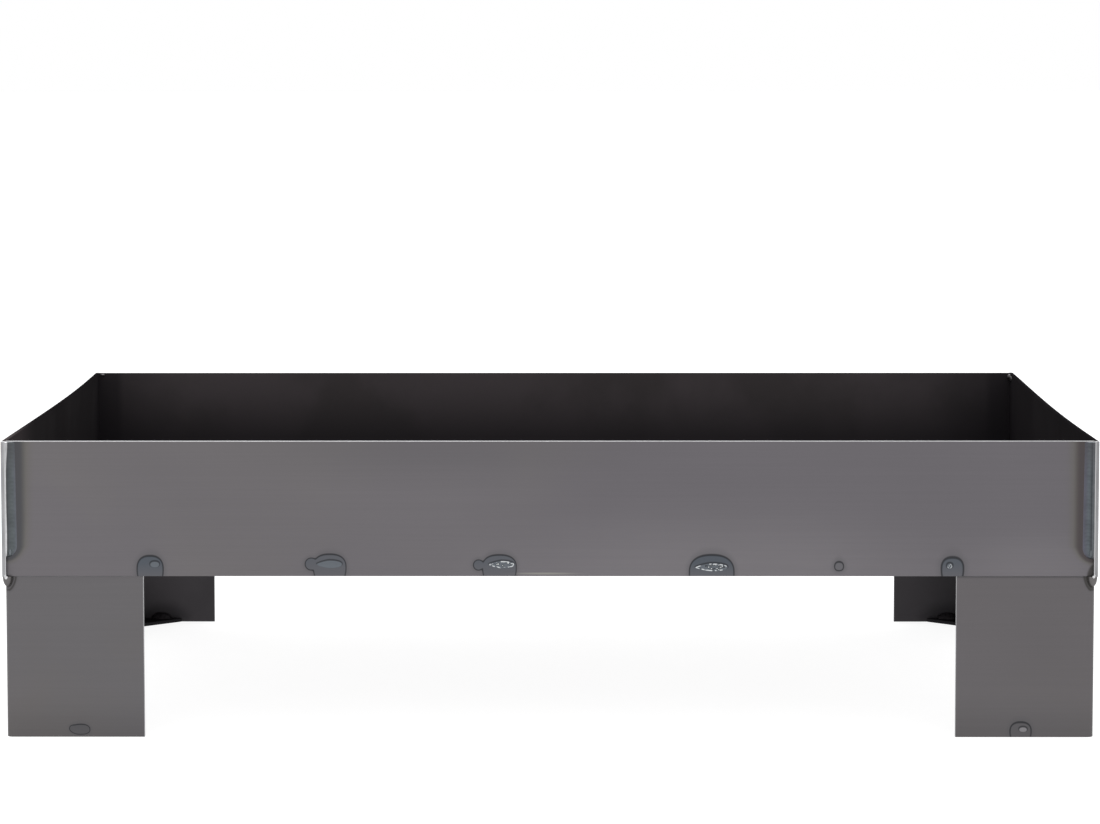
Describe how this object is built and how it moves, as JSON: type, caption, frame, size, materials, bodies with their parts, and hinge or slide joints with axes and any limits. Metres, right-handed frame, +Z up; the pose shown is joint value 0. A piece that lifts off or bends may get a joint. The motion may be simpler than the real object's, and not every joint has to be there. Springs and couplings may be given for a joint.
{
  "type": "brazier",
  "caption": "Low rectangular open fire tray of sheet steel, welded at the corners and standing on legs bent from flat sheet.",
  "frame": {"origin": "centre of the footprint on the floor that the legs stand on", "axes": "+X along the tray's length, to the right seen from the front; +Y from the front panel to the rear panel; +Z up"},
  "size_m": [0.806, 0.614, 0.22],
  "materials": {
    "wall_sheet": "bare cold-rolled sheet steel, mid grey and matt outside, smoke-black inside",
    "hearth_sheet": "bare sheet steel, blackened",
    "leg_sheet": "bare cold-rolled sheet steel, mid grey and matt outside, darker inside",
    "foot_sheet": "bare sheet steel, dark grey",
    "weld_bead": "weld metal with a blue-grey heat tint"
  },
  "bodies": {
    "root": {"base_plate": "hearth_sheet", "front_panel": "wall_sheet", "rear_panel": "wall_sheet", "left_side_panel": "wall_sheet", "right_side_panel": "wall_sheet", "leg_front_left": "leg_sheet", "leg_front_right": "leg_sheet", "leg_rear_left": "leg_sheet", "leg_rear_right": "leg_sheet", "foot_plate_front_left": "foot_sheet", "foot_plate_front_right": "foot_sheet", "foot_plate_rear_left": "foot_sheet", "foot_plate_rear_right": "foot_sheet", "corner_weld_front_left": "weld_bead", "corner_weld_front_right": "weld_bead", "corner_weld_rear_left": "weld_bead", "corner_weld_rear_right": "weld_bead", "base_tacks_front": "weld_bead", "base_tacks_rear": "weld_bead", "base_tacks_left": "weld_bead", "base_tacks_right": "weld_bead", "leg_tacks_front_left": "weld_bead", "leg_tacks_front_right": "weld_bead", "leg_tacks_rear_left": "weld_bead", "leg_tacks_rear_right": "weld_bead", "foot_tacks_front_left": "weld_bead", "foot_tacks_front_right": "weld_bead", "foot_tacks_rear_left": "weld_bead", "foot_tacks_rear_right": "weld_bead"}
  },
  "joints": []
}
